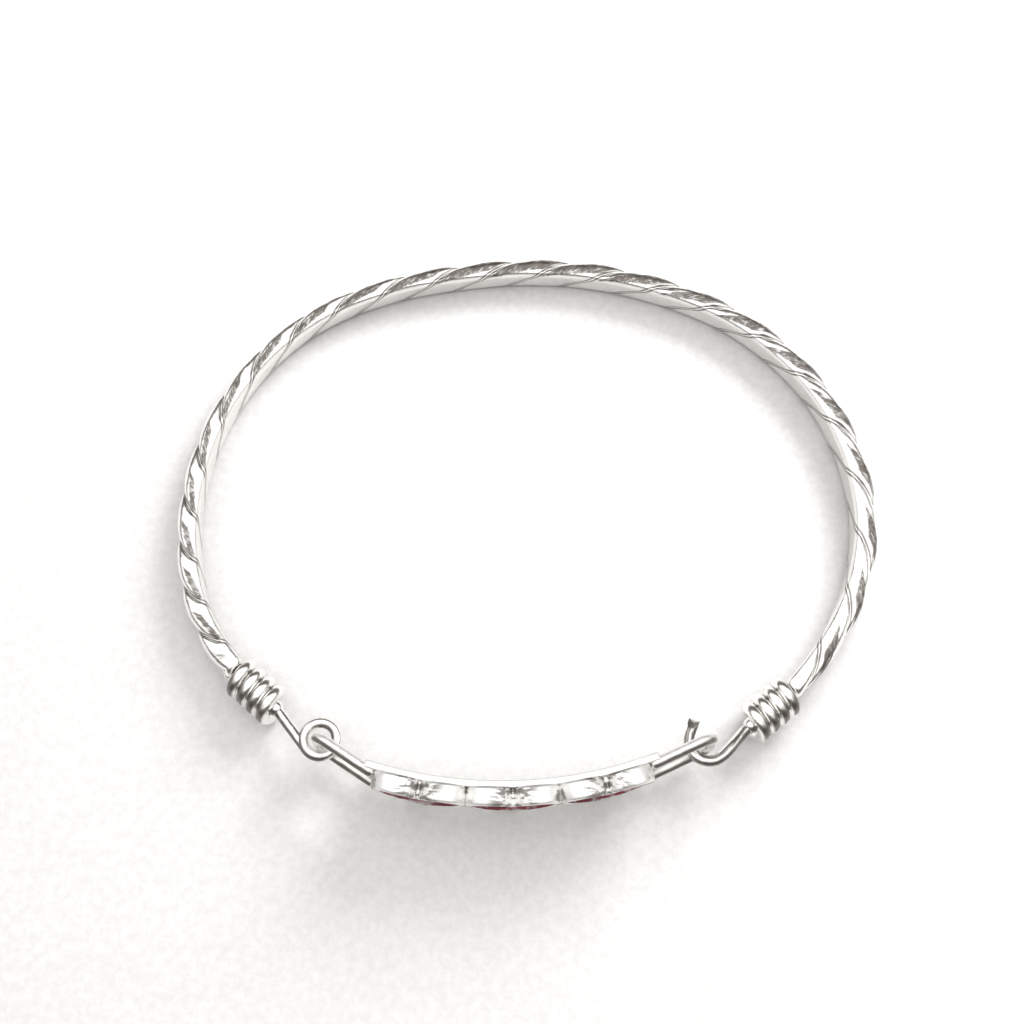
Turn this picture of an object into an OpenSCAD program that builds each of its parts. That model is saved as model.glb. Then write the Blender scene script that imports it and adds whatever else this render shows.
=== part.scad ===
// Heart bangle: an open twisted band, and a curved plate of enamelled hearts that closes its front.
// The plate swings on a closed wire loop at the band's left end, and its other end catches on a hook.
// The bangle lies on the XY plane. Its front is at -Y, and the loop is at -X.

/* [Band] */
// Thickness of the twisted band at its back
band_d = 2.72; // [2.4:0.02:3]
// Half turns that the band is twisted, which is how many grooves cross it
half_turns = 23.2; // [18:0.05:26]
// Where the first groove starts, turned up from the outside
groove_start = 27; // [0:1:179]
// How far each strand's shoulders fall in, as a share of the radius
shoulder_fall = 0.17; // [0.1:0.01:0.22]
// How much deeper the groove goes, as a share of the radius
groove_cut = 0.16; // [0.08:0.01:0.2]
// Distance of the flat inner side from the band's middle, as a share of the radius
inner_flat = 0.66; // [0.6:0.01:0.8]

/* [Wraps] */
// Wire of the left wrap
left_wrap_wire = 1.15; // [1:0.01:1.2]
// Wire of the right wrap
right_wrap_wire = 1.13; // [0.9:0.01:1.2]
// Turns of wire in each wrap
wrap_turns = 3.85; // [2.85:0.05:3.9]
// Angle from the inner side, towards the top, at which a wrap's wire starts
wind_start = -60; // [-180:5:180]
// Diameter of the plain neck under a wrap
neck_d = 1.44; // [1.3:0.02:1.6]

/* [Loop and hook] */
// Wire of the loop
loop_wire = 0.95; // [0.8:0.05:1]
// Radius of the loop, to the middle of its wire
loop_r = 1.44; // [1.4:0.01:1.5]
// Wire of the hook
hook_wire = 1; // [0.8:0.05:1.05]
// Radius of the hook's bend, to the middle of its wire
hook_r = 1.72; // [1.6:0.02:1.8]
// Straight length of the hook's free arm
hook_arm = 1.3; // [1:0.1:1.4]

/* [Plate] */
// Radius of the plate's front
plate_r = 40.06; // [38:0.02:42]
// Thickness of the backing strip
strip_t = 0.65; // [0.5:0.05:0.8]
// Height of the lower and upper edges of the backing strip
strip_z = [1, 6.5]; // [0.8:0.1:6.8]
// Half of the arc that the strip covers
strip_half = 18.8; // [18.4:0.1:19.4]
// Lean of the plate, its lower edge outwards
plate_lean = 0.7; // [0:0.1:4]
// Thickness of the raised hearts
heart_t = 1.5; // [1.2:0.05:1.7]
// Height of a heart
heart_h = 7.4; // [7:0.1:7.8]
// Arc from one heart to the next
heart_step = 11.5; // [11.4:0.1:11.7]
// Width of the silver rim round the enamel
rim_w = 0.55; // [0.4:0.05:0.65]
// Depth of the pocket that holds the enamel
pocket = 0.7; // [0.5:0.05:0.8]
// How far the enamel stands proud of the rim at its middle
dome = 0.1; // [0.02:0.02:0.4]

/* [Eyelets] */
// Wire of the upright eyelets
eyelet_wire = 0.95; // [0.85:0.05:1]
// Outer height of an eyelet
eyelet_h = 5.4; // [5:0.1:5.6]
// Lean of an eyelet, its lower bar outwards
eyelet_lean = 8; // [0:1:10]

/* [Hidden] */
$fn = 48;

// Space left between pieces that are held together
fit = 0.05;
// Puts the middle of the whole bangle's box on the origin
frame_shift = [0.094, 0.213, 0];

// Middle of the band seen from above: angle from +X, then distance from the middle
BAND_PATH = [
    [-48, 27.6], [-41, 28.25], [-34, 28.85], [-25, 29.7], [-13, 30.8], [0, 31.3], [20, 30.7], [40, 29.0],
    [60, 26.9], [75, 25.9], [90, 25.5], [105, 25.8], [120, 27.1], [140, 29.4], [160, 30.9], [180, 31.5],
    [195, 31.4], [203, 30.85], [210, 30.1], [216, 29.45], [223, 28.6]];
// Thickness of the band: share of its length from the left, then share of band_d
BAND_THICKNESS = [[0, 1.02], [0.2, 0.97], [0.5, 1], [0.75, 1.1], [0.9, 1.03], [1, 0.86]];
// Share of the twist made by a share of the band's length: it slackens to the right
TWIST_SPREAD = [[0, 0], [0.15, 0.184], [0.3, 0.334], [0.5, 0.536], [0.75, 0.772], [1, 1]];
// One strand's outline: angles from one groove towards the next
STRAND = [0, 13, 35, 62, 90, 118, 145, 167];

// Angle of the band's path where each wrap is, and the way the wrap points, towards the front
left_wrap_at = 215;
left_wrap_way = -40;
right_wrap_at = -41;
right_wrap_way = 218.5;
// Angle between a wrap and the end of the twist
shoulder = 0.7;
// Number of steps along the band
band_steps = 160;

// Height of the band's middle at its back, and how much it rises towards the front
back_z = band_d / 2 + 0.045;
back_y = 25.5;
wrap_y = -15;
rise = (wrap_r(left_wrap_wire) + 0.015 - back_z) / (back_y - wrap_y);

// Middle of the loop and of the hook's bend, and their height
loop_at = [-18.2, -21.25];
hook_at = [15.55, -21.38];
link_z = 2.9;
// Hinge of the plate, at the eyelet's bar in the loop, and the bar of the other eyelet in the hook
hinge = [-18.28, -21.48];
catch_bar = [15.6, -21.62];

// Middle of the plate's arc, how far the plate is turned about it, and the height of the eyelets' middle
plate_at = [-2.4, 12.9];
plate_turn = 1.43;
eyelet_z = 3.7;

// Value at x of a smooth curve through a table of rows [x, value]
function row_slope(t, i) = let(a = t[max(i - 1, 0)], b = t[min(i + 1, len(t) - 1)]) (b[1] - a[1]) / (b[0] - a[0]);
function row_of(t, x, i = 0) = i >= len(t) - 2 || x < t[i + 1][0] ? i : row_of(t, x, i + 1);
function smooth(t, x) =
    let(i = row_of(t, x), w = t[i + 1][0] - t[i][0], u = (x - t[i][0]) / w)
    t[i][1] * (1 + 2 * u) * pow(1 - u, 2) + t[i + 1][1] * u * u * (3 - 2 * u)
    + w * row_slope(t, i) * u * pow(1 - u, 2) + w * row_slope(t, i + 1) * u * u * (u - 1);

function unit(v) = v / norm(v);
function heading(a) = [cos(a), sin(a)];
function raised(p) = [p.x, p.y, back_z + (back_y - p.y) * rise];
function band_point(a) = raised(smooth(BAND_PATH, a) * heading(a));

// A wrap: outer radius, distance between turns, length, and the middle of its ends
function wrap_r(wire) = neck_d / 2 + fit + wire;
function wrap_pitch(wire) = wire + 0.03;
function wrap_length(wire) = wrap_turns * wrap_pitch(wire) + wire;
function wrap_end(at, way, wire, side) =
    raised(smooth(BAND_PATH, at) * heading(at) + side * wrap_length(wire) / 2 * heading(way));

left_near = wrap_end(left_wrap_at, left_wrap_way, left_wrap_wire, -1);
left_far = wrap_end(left_wrap_at, left_wrap_way, left_wrap_wire, 1);
right_near = wrap_end(right_wrap_at, right_wrap_way, right_wrap_wire, -1);
right_far = wrap_end(right_wrap_at, right_wrap_way, right_wrap_wire, 1);
// The neck reaches this share of the way through its wrap, and the plug of the loop or hook starts at the other
neck_share = 0.62;
plug_share = 0.65;

// The twisted band runs from the left wrap round the back to the right wrap
band_from = atan2(left_near.y, left_near.x) + 360 - shoulder;
band_to = atan2(right_near.y, right_near.x) + shoulder;
band_points = [for (i = [0:band_steps]) band_point(band_from + (band_to - band_from) * i / band_steps)];
band_run = [for (i = 0, s = 0; i <= band_steps;
    s = s + (i < band_steps ? norm(band_points[i + 1] - band_points[i]) : 0), i = i + 1) s];
band_length = band_run[band_steps];

// Turn of the grooves at a distance s along the band, for a left-hand twist
function groove_turn(s) = groove_start - 180 * half_turns * smooth(TWIST_SPREAD, s / band_length);
// Depth of the groove at an angle a from it, as a share of the radius: wide shoulders and a narrow cut
shoulder_width = 38;
cut_width = 9;
function bell(a, width) = exp(-pow(a / width, 2));
function groove_depth(a) =
    let(near = min(a, 180 - a)) shoulder_fall * bell(near, shoulder_width) + groove_cut * bell(near, cut_width);
// The band's outline at an angle w up from the outside: round outside, and squared to a flat inside
squareness = 5;
function outline_r(w) = cos(w) > 0 ? 1
    : pow(pow(-cos(w) / inner_flat, squareness) + pow(abs(sin(w)), squareness), -1 / squareness);
// Share of the groove's depth that is left at the angle w, because the flat is pressed almost smooth
pressed = 0.85;
function groove_left(w) = 1 - pressed * min(max(-2 * cos(w), 0), 1);
// A ring of points round p, square to the way t, for a band of radius r with the twist turned by turn
function twist_ring(p, t, r, turn) =
    let(out = unit([-t.y, t.x, 0]), up = cross(t, out))
    [for (half = [0, 180], a = STRAND) let(w = turn + half + a)
        p + r * outline_r(w) * (1 - groove_left(w) * groove_depth(a)) * (out * cos(w) + up * sin(w))];
function neck_ring(p, t) =
    let(out = unit([-t.y, t.x, 0]), up = cross(t, out), n = 2 * len(STRAND))
    [for (k = [0:n - 1]) p + neck_d / 2 * (out * cos(360 * k / n) + up * sin(360 * k / n))];

// Skins a row of rings of n points each, with flat ends
module skin(rings) {
    n = len(rings[0]);
    last = len(rings) - 1;
    sides = [for (i = [0:last - 1], k = [0:n - 1]) let(a = i * n + k, b = i * n + (k + 1) % n)
        each [[a, a + n, b + n], [a, b + n, b]]];
    ends = [[for (k = [0:n - 1]) k], [for (k = [0:n - 1]) last * n + n - 1 - k]];
    polyhedron([for (r = rings) each r], concat(sides, ends));
}

module rod(a, b, d) {
    v = b - a;
    translate(a) rotate([0, atan2(norm([v.x, v.y]), v.z), atan2(v.y, v.x)]) cylinder(h = norm(v), d = d);
}

module twisted_band() {
    left_way = unit(left_near - left_far);
    right_way = unit(right_far - right_near);
    turn_at = function(i) groove_turn(band_run[i]);
    way_at = function(i) unit(band_points[min(i + 1, band_steps)] - band_points[max(i - 1, 0)]);
    rings = concat(
        [neck_ring(left_near + neck_share * (left_far - left_near), left_way), neck_ring(left_near, left_way)],
        [for (i = [0:band_steps]) twist_ring(band_points[i], way_at(i),
            band_d / 2 * smooth(BAND_THICKNESS, i / band_steps), turn_at(i))],
        [neck_ring(right_near, right_way), neck_ring(right_near + neck_share * (right_far - right_near), right_way)]);
    color("silver") skin(rings);
}

// Wire wound round a neck from the point a to the point b, to the right or to the left
module wound_wire(a, b, wire, hand) {
    way = unit(b - a);
    out = unit([-way.y, way.x, 0]);
    up = cross(way, out);
    steps = 20;
    mean_r = neck_d / 2 + fit + wire / 2;
    pitch = wrap_pitch(wire);
    section = 8;
    spoke = function(t) hand * out * cos(t + wind_start) + up * sin(t + wind_start);
    centre = function(t) a + way * (wire / 2 + pitch * t / 360) + mean_r * spoke(t);
    rings = [for (t = [0:360 / steps:360 * wrap_turns])
        let(c = centre(t), rad = spoke(t), side = cross(unit(centre(t + 1) - centre(t - 1)), rad))
        [for (k = [0:section - 1]) c + wire / 2 * (rad * cos(360 * k / section) + side * sin(360 * k / section))]];
    color("silver") skin(rings);
}

module left_wrap() { wound_wire(left_near, left_far, left_wrap_wire, 1); }
module right_wrap() { wound_wire(right_near, right_far, right_wrap_wire, -1); }

// Round plug that fills the front end of a wrap, behind the loop or the hook
module plug(near, far) {
    rod(near + plug_share * (far - near), far, neck_d);
}

// Way from the middle c to where a line from p touches a circle of radius r round c
function touch(p, c, r, side) =
    let(v = [p.x - c.x, p.y - c.y]) atan2(v.y, v.x) + side * acos(r / norm(v));

// Distance of the stem's root inside the wrap
root_in = 0.4;
module left_loop() {
    middle = [loop_at.x, loop_at.y, link_z];
    foot = middle + loop_r * [each heading(touch(left_far, loop_at, loop_r, 1)), 0];
    root = left_far - root_in * unit(left_far - left_near);
    color("silver") union() {
        plug(left_near, left_far);
        translate(middle) rotate_extrude() translate([loop_r, 0]) circle(d = loop_wire);
        rod(root, foot, loop_wire);
        translate(root) sphere(d = loop_wire);
    }
}

function arc(c, r, from, to, n) = [for (i = [0:n]) c + r * heading(from + (to - from) * i / n)];

// Stem, wide bend, close bend and free arm of the hook, seen from above. The cut at the tip slants
// along the arm, and faces this far up from the outer side
sweep_r = 3.5;
sweep_from = -40;
sweep_to = -60;
arm_from = -203;
tip_slant = 27;
tip_up = 75;
hook_line =
    let(sweep_at = hook_at - (sweep_r - hook_r) * heading(sweep_to), arm_at = hook_at + hook_r * heading(arm_from))
    concat([[right_far.x, right_far.y]], arc(sweep_at, sweep_r, sweep_from, sweep_to, 4),
        arc(hook_at, hook_r, sweep_to - 9, arm_from, 16),
        [arm_at + hook_arm * [sin(arm_from), -cos(arm_from)]]);

module right_hook() {
    last = len(hook_line) - 1;
    // The stem climbs from the neck to the height of the bend
    path = [for (i = [0:last]) [hook_line[i].x, hook_line[i].y, i == 0 ? right_far.z : link_z]];
    sides = 10;
    rings = [for (i = [0:last])
        let(t = unit(path[min(i + 1, last)] - path[max(i - 1, 0)]), out = unit([-t.y, t.x, 0]), up = cross(t, out))
        [for (k = [0:sides - 1]) path[i] + hook_wire / 2 * (out * cos(360 * k / sides) + up * sin(360 * k / sides))]];
    tip = path[last];
    way = path[last] - path[last - 1];
    color("silver") union() {
        plug(right_near, right_far);
        difference() {
            skin(rings);
            translate(tip) rotate([0, 0, atan2(way.y, way.x)]) rotate([tip_up, 0, 0]) rotate([0, 0, -tip_slant])
                translate([-2, 0, -1]) cube([4, 2, 2]);
        }
    }
}

// Heart outline standing on its tip at the origin, drawn in by inset all round
lobe_x = 1.94;
lobe_r = 2.19;
tip_r = 0.75;
tip_flat = 18;
function heart(inset) =
    let(lobe = [lobe_x, heart_h - lobe_r], tip = [0, tip_r * cos(tip_flat)],
        notch = [0, lobe.y + sqrt(lobe_r * lobe_r - lobe_x * lobe_x)],
        r = lobe_r - inset, q = tip_r - inset, v = lobe - tip,
        flank = atan2(v.y, v.x) - acos((q - r) / norm(v)), inward = atan2(notch.y - lobe.y, -lobe.x),
        half = concat(arc(tip, q, tip_flat - 90, flank, 3), arc(lobe, r, flank, inward, 14),
            inset > 0 ? arc(notch, inset, inward - 180, -80, 3) : []))
    concat(half, [for (i = [len(half) - 1:-1:0]) if (half[i].x > 0.001) [-half[i].x, half[i].y]]);

// Heart-shaped block at an angle along the plate, between two distances from the arc's middle
module heart_block(turn, inset, from_r, to_r) {
    translate([plate_at.x, plate_at.y, 0]) rotate([0, 0, plate_turn + turn])
        translate([0, -from_r, 0]) rotate([90, 0, 0])
        linear_extrude(to_r - from_r) polygon(heart(inset));
}

// Part of a round wall about the plate's arc, between two heights, with the plate's lean
module arc_wall(from_r, to_r, half, z) {
    lean = [for (h = z) tan(plate_lean) * (eyelet_z - h)];
    translate([plate_at.x, plate_at.y, 0]) rotate([0, 0, plate_turn - 90 - half])
        rotate_extrude(angle = 2 * half, $fn = 96)
        polygon([[from_r + lean[0], z[0]], [to_r + lean[0], z[0]], [to_r + lean[1], z[1]], [from_r + lean[1], z[1]]]);
}

// Upright oblong wire eyelet with its outer bar on the point bar, and its open end in the plate
module eyelet(bar, plate_end) {
    v = plate_end - bar;
    half = (eyelet_h - eyelet_wire) / 2;
    corner = 1.2;
    translate([bar.x, bar.y, eyelet_z]) rotate([0, 0, atan2(v.y, v.x)])
        rotate([v.x > 0 ? -eyelet_lean : eyelet_lean, 0, 0]) {
            translate([0, 0, corner - half]) cylinder(h = 2 * (half - corner), d = eyelet_wire);
            for (s = [-1, 1]) {
                rod([corner, 0, s * half], [norm(v), 0, s * half], eyelet_wire);
                translate([corner, 0, s * (half - corner)]) rotate([90, 0, 0]) rotate([0, 0, s > 0 ? 90 : 180])
                    rotate_extrude(angle = 90) translate([corner, 0]) circle(d = eyelet_wire);
            }
        }
}

strip_r = plate_r - heart_t;
// Where an eyelet is soldered on: this angle in from the plate's end, halfway through its thickness
solder_in = 0.6;
function plate_end(side) =
    plate_at + (plate_r - (heart_t + strip_t) / 2) * heading(plate_turn - 90 + side * (strip_half - solder_in));
// Length by which the hearts are let into the strip
let_in = 0.1;

module heart_plate() {
    color("silver") union() {
        arc_wall(strip_r - strip_t, strip_r, strip_half, strip_z);
        difference() {
            intersection() {
                union() for (i = [-1:1]) heart_block(i * heart_step, 0, strip_r - 1, plate_r + 1);
                arc_wall(strip_r - let_in, plate_r, strip_half, [-1, heart_h + 1]);
            }
            for (i = [-1:1]) intersection() {
                heart_block(i * heart_step, rim_w, plate_r - pocket - 1, plate_r + 1);
                arc_wall(plate_r - pocket, plate_r + 1, strip_half, [-1, heart_h + 1]);
            }
        }
        eyelet(hinge, plate_end(-1));
        eyelet(catch_bar, plate_end(1));
    }
}

// Enamel of one heart, domed at its front
module enamel(i) {
    dome_r = 22;
    front = plate_r + dome;
    turn = i * heart_step;
    color("darkred") intersection() {
        heart_block(turn, rim_w + fit, plate_r - pocket - 1, plate_r + 1);
        arc_wall(plate_r - pocket + fit, plate_r + 1, strip_half, [-1, heart_h + 1]);
        translate([plate_at.x, plate_at.y, 0]) rotate([0, 0, plate_turn + turn])
            translate([0, dome_r * cos(plate_lean) - front, heart_h * 0.55 - dome_r * sin(plate_lean)])
                sphere(dome_r, $fn = 96);
    }
}

module left_enamel() { enamel(-1); }
module middle_enamel() { enamel(0); }
module right_enamel() { enamel(1); }

translate(frame_shift) {
    twisted_band();
    left_wrap();
    right_wrap();
    left_loop();
    right_hook();
    heart_plate();
    left_enamel();
    middle_enamel();
    right_enamel();
}
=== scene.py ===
"""Heart bangle: a twisted silver band with a swinging plate of enamelled hearts, on paper."""

import math

import bpy
import numpy as np
from bpy.props import FloatProperty, FloatVectorProperty, PointerProperty
from bpy.types import Operator, Panel, PropertyGroup
from mathutils import Matrix, Vector


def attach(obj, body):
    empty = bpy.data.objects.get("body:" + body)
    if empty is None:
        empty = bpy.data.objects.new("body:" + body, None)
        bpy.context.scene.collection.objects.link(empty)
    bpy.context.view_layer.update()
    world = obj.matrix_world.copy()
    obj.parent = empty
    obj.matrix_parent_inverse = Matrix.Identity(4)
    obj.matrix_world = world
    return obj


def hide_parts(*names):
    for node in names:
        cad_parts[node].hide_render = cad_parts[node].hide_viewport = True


bl_info = {
    "name": "Heart bangle",
    "version": (1, 0, 0),
    "blender": (4, 5, 0),
    "location": "View3D > Sidebar > Bangle",
    "description": "Makes a twisted silver bangle with a plate of enamelled hearts, and its stage",
    "category": "Object",
}

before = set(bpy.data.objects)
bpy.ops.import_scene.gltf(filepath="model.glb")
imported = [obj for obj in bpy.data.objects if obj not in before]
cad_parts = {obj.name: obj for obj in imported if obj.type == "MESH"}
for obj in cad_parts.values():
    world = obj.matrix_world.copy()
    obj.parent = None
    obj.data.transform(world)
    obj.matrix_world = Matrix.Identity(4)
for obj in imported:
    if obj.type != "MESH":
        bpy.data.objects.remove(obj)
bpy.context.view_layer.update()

# Tables and lengths below are in millimetres, as a jeweller gives them
MM = 0.001
# Puts the middle of the whole bangle's box on the origin
FRAME_SHIFT = np.array([0.094, 0.213, 0.0])
# Space left between pieces that are held together
FIT = 0.05

# Middle of the band seen from above: angle from +X in degrees, distance from the middle
BAND_PATH = [
    [-48, 27.6], [-41, 28.25], [-34, 28.85], [-25, 29.7], [-13, 30.8], [0, 31.3], [20, 30.7],
    [40, 29.0], [60, 26.9], [75, 25.9], [90, 25.5], [105, 25.8], [120, 27.1], [140, 29.4],
    [160, 30.9], [180, 31.5], [195, 31.4], [203, 30.85], [210, 30.1], [216, 29.45], [223, 28.6],
]
# Share of the band's length from the left, thickness as a share of the full thickness
BAND_THICKNESS = [[0, 1.02], [0.2, 0.97], [0.5, 1], [0.75, 1.1], [0.9, 1.03], [1, 0.86]]
# Share of the band's length, share of the twist
TWIST_SPREAD = [[0, 0], [0.15, 0.184], [0.3, 0.334], [0.5, 0.536], [0.75, 0.772], [1, 1]]

# Painted dark reflections on the upper flanks of the strands: share of the band's length, then
# the middle of a mark and half its width in degrees up from the outside, each as a start and a
# change for each degree above the groove, and then the degrees above the groove where a mark
# starts and ends
BAND_DARK_REFLECTIONS = [
    [0.12, 109, -0.29, 14, 0, 10, 108],
    [0.31, 116, -0.27, 16, 0, 5, 125],
    [0.5, 136.5, -0.595, 2.5, 0.355, 14, 170],
    [0.69, 177, -0.995, -38, 0.755, 55, 155],
    [0.87, 157, -0.94, -57, 0.81, 72, 152],
]

# Height of the band's middle at the back and near the front, and where these are
BACK_Z, BACK_Y = 1.405, 25.5
RISE = (1.935 - BACK_Z) / (BACK_Y + 15)
# Steps along the band, points round it, and how much these crowd towards the grooves
BAND_STEPS, BAND_AROUND, CROWDING = 790, 96, 0.72
# Widths in degrees of a groove's shoulders, of the groove and of the fine wire in it
SHOULDER_WIDTH, GROOVE_WIDTH, RIDGE_WIDTH = 38, 11, 4.6
# How square the inner corners are, and the share of the grooves that is pressed flat inside
CORNER_POWER, PRESSED = 5, 0.85

# Each wrap: its wire, angle of the band's path at its middle, way it points, hand of its wire
LEFT_WRAP = ("left_wrap", 215, -40, 1)
RIGHT_WRAP = ("right_wrap", -41, 218.5, -1)
# Angle up from the inner side at which a wrap's wire starts, and the space between its turns
WIND_START, TURN_GAP = -60, 0.03
# How far a neck reaches into its wrap, as a share of the wrap's length
NECK_SHARE = 0.62
# Degrees of the path left for the band's rounded end, how far that runs into the wrap, and what
# each of its rings adds to the distance along
SHOULDER, END_IN, NECK_STEP = 0.7, 0.32, 0.1

# Middles of the loop and of the hook's bend, and the height of both
LOOP_AT, HOOK_AT, LINK_Z = (-18.2, -21.25), (15.55, -21.38), 2.9
# Radius of the hook's wide bend, and the angles at which it starts, the close bend takes over and
# the free arm starts
SWEEP_R, SWEEP_FROM, SWEEP_TO, ARM_FROM = 3.5, -40, -60, -203
# Degrees that the hook's cut faces aside from its arm, and up
CUT_ASIDE, CUT_UP = 27, 75

# Outer bars of the eyelets: the left one is the hinge
HINGE, CATCH_BAR = (-18.28, -21.48), (15.6, -21.62)
# Eyelets: height of their middle, lean in degrees, radius of their corners, and the degrees of the
# plate that their bars run in
EYELET_Z, EYELET_LEAN, EYELET_CORNER, BAR_IN = 3.7, 8, 1.2, 0.6
# Middle of the plate's arc, the degrees that it is turned, and its lean, by which the radius grows
# below the eyelets' middle
PLATE_AT, PLATE_TURN, LEAN = (-2.4, 12.9), 1.43, math.radians(0.7)
# Degrees from one heart to the next, and height of a heart's middle as a share of its own
HEART_STEP, HEART_MIDDLE = 11.5, 0.55
# Radius of the ball that the front of the enamel belongs to
ENAMEL_BALL = 22
# Half of the strip's arc in degrees, the heights of its edges, and the radius of its corners
STRIP_HALF, STRIP_LOW, STRIP_HIGH, STRIP_SOFT = 18.8, 1.0, 6.5, 0.14

# Own mark of a point on the strip, the eyelets, the hook's wire and its sawn tip. On a heart it is
# the distance from the heart's middle line
STRIP_MARK, EYELET_MARK, HOOK_WIRE_MARK, SAWN_MARK = 50.0, 99.0, 3.0, 9.0

# Stage, in metres: half of the floor's side, the lamp's sides and place, what the camera looks at
# and from how far. Its elevation is in degrees, and the width of its sensor in millimetres
FLOOR_HALF = 1.5
LAMP_SIZE, LAMP_AT = (0.14, 0.1), (0.12, 0.17, 0.12)
AIM, DISTANCE = (-0.00142, 0.00018, 0.0016), 0.1035
ELEVATION, SENSOR = 72, 36


# Sizes and colours that a user would change


def number(name, description, default, **more):
    """A plain number, such as a share or a strength."""
    return FloatProperty(name=name, description=description, default=default, **more)


def length(name, description, default):
    """A length, given in millimetres and kept in metres."""
    return number(name, description, default * MM, min=0, precision=5, unit="LENGTH")


def colour(name, description, default):
    """A colour property."""
    return FloatVectorProperty(
        name=name, description=description, default=default, size=3, min=0, max=1, subtype="COLOR"
    )


class BandSizes(PropertyGroup):
    """Sizes of the twisted band."""

    thickness: length("Thickness", "Thickness of the band at its back", 2.64)
    half_turns: number("Half turns", "Half turns of twist, one for each groove", 23.2)
    groove_start: number(
        "Groove start",
        "Where the first groove starts, turned up from the outside",
        math.radians(27),
        unit="ROTATION",
    )
    shoulder_fall: number("Shoulder fall", "How far a strand's shoulders fall in", 0.17)
    groove_cut: number("Groove cut", "How much deeper the groove goes", 0.2)
    ridge: length("Ridge", "Height of the fine wire in each groove", 0.2)
    inner_flat: number("Inner flat", "Distance of the flat inside, as a share", 0.66)


class WireSizes(PropertyGroup):
    """Sizes of the wraps, the loop and the hook."""

    left_wrap: length("Left wrap", "Wire of the left wrap", 1.15)
    right_wrap: length("Right wrap", "Wire of the right wrap", 1.13)
    turns: number("Turns", "Turns of wire in each wrap", 3.85)
    neck: length("Neck", "Diameter of the plain neck under a wrap", 1.44)
    loop: length("Loop wire", "Wire of the loop", 0.95)
    loop_radius: length("Loop radius", "Radius of the loop, to the middle of its wire", 1.44)
    hook: length("Hook wire", "Wire of the hook", 1.0)
    hook_radius: length("Hook radius", "Radius of the hook's bend", 1.72)
    hook_arm: length("Hook arm", "Straight length of the hook's free arm", 1.3)


class PlateSizes(PropertyGroup):
    """Sizes of the plate and its hearts."""

    radius: length("Radius", "Radius of the plate's front", 40.06)
    strip: length("Strip", "Thickness of the backing strip", 0.65)
    heart: length("Heart", "Thickness of the raised hearts", 1.5)
    heart_height: length("Heart height", "Height of a heart", 7.38)
    rim: length("Rim", "Width of the silver rim round the enamel", 0.55)
    pocket: length("Pocket", "Depth of the pocket that holds the enamel", 0.7)
    dome: length("Dome", "How far the enamel stands proud of the rim", 0.09)
    eyelet: length("Eyelet wire", "Wire of the upright eyelets", 0.95)
    eyelet_height: length("Eyelet height", "Outer height of an eyelet", 5.4)


class Finish(PropertyGroup):
    """Colours and polish of the metal and the enamel."""

    silver: colour("Silver", "Colour of the polished silver", (0.94, 0.93, 0.91))
    # Also the colour of the painted dark reflections on the upper flanks of the band, wires and
    # eyelets
    tarnish_and_painted_reflection: colour("Tarnish", "Colour of the darkened silver in the grooves", (0.09, 0.07, 0.055))
    enamel: colour("Enamel", "Colour of the enamel", (0.24, 0.01, 0.036))
    polish: number("Polish", "Roughness of the silver", 0.1)


class StageSettings(PropertyGroup):
    """Light, floor and camera."""

    sky: number("Sky", "Strength of the light from all round", 1.5)
    lamp: number("Lamp", "Power of the soft lamp, in watts", 0.75)
    floor: colour("Floor", "Colour of the paper floor", (0.75, 0.742, 0.733))
    lens: number("Lens", "Focal length in millimetres", 38.67)


# Shapes


def mm(metres):
    """A property's length in millimetres."""
    return 1000 * metres


def heading(degrees):
    """Unit vector at an angle from +X: its cosine and its sine."""
    a = np.radians(degrees)
    return np.stack([np.cos(a), np.sin(a)], -1)


def bearing(v):
    """Angle of a vector from +X, in degrees."""
    return math.degrees(math.atan2(v[1], v[0]))


def unit(v):
    """Vectors divided by their lengths."""
    return v / np.linalg.norm(v, axis=-1, keepdims=True)


def between(start, end, share):
    """Points on the straight line from a start to an end, by share."""
    return start + np.asarray(share)[..., None] * (end - start)


def smooth(table, x):
    """Smooth curve through a table: cubic pieces whose slope at a row is that of the chord
    between the rows on either side of it."""
    t = np.array(table, float)
    x = np.asarray(x, float)
    slope = np.gradient(t[:, 1])
    slope[1:-1] = (t[2:, 1] - t[:-2, 1]) / (t[2:, 0] - t[:-2, 0])
    slope[[0, -1]] = (t[[1, -1], 1] - t[[0, -2], 1]) / (t[[1, -1], 0] - t[[0, -2], 0])
    i = np.clip(np.searchsorted(t[:, 0], x, side="right") - 1, 0, len(t) - 2)
    w = t[i + 1, 0] - t[i, 0]
    u = (x - t[i, 0]) / w
    return (
        t[i, 1] * (1 + 2 * u) * (1 - u) ** 2
        + t[i + 1, 1] * u * u * (3 - 2 * u)
        + w * slope[i] * u * (1 - u) ** 2
        + w * slope[i + 1] * u * u * (u - 1)
    )


def raised(p):
    """Points of the band's plane: height falls in a straight line from the front to the back."""
    p = np.asarray(p, float)
    return np.concatenate([p, BACK_Z + (BACK_Y - p[..., 1:2]) * RISE], -1)


def band_point(angle):
    """Point of the band's middle: the path's distance at that angle, along that heading, raised."""
    return raised(smooth(BAND_PATH, angle)[..., None] * heading(angle))


def wrap_pitch(wire):
    """Distance from one turn of a wrap to the next."""
    return wire + TURN_GAP


def wrap_ends(wrap, wires):
    """Two ends of a wrap: half its length before and after its middle, along its heading."""
    name, at, way, _ = wrap
    wire = mm(getattr(wires, name))
    half = (wires.turns * wrap_pitch(wire) + wire) / 2
    middle = smooth(BAND_PATH, at) * heading(at)
    return raised(middle - half * heading(way)), raised(middle + half * heading(way))


def bell(a, width):
    """Bell curve: e to the power of minus the square of the angle over the width."""
    return np.exp(-((a / width) ** 2))


def distances(line):
    """Distance along a line at each of its points: the sum of the steps so far."""
    steps = np.linalg.norm(np.diff(line, axis=0), axis=1)
    return np.concatenate([[0], np.cumsum(steps)])


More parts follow.
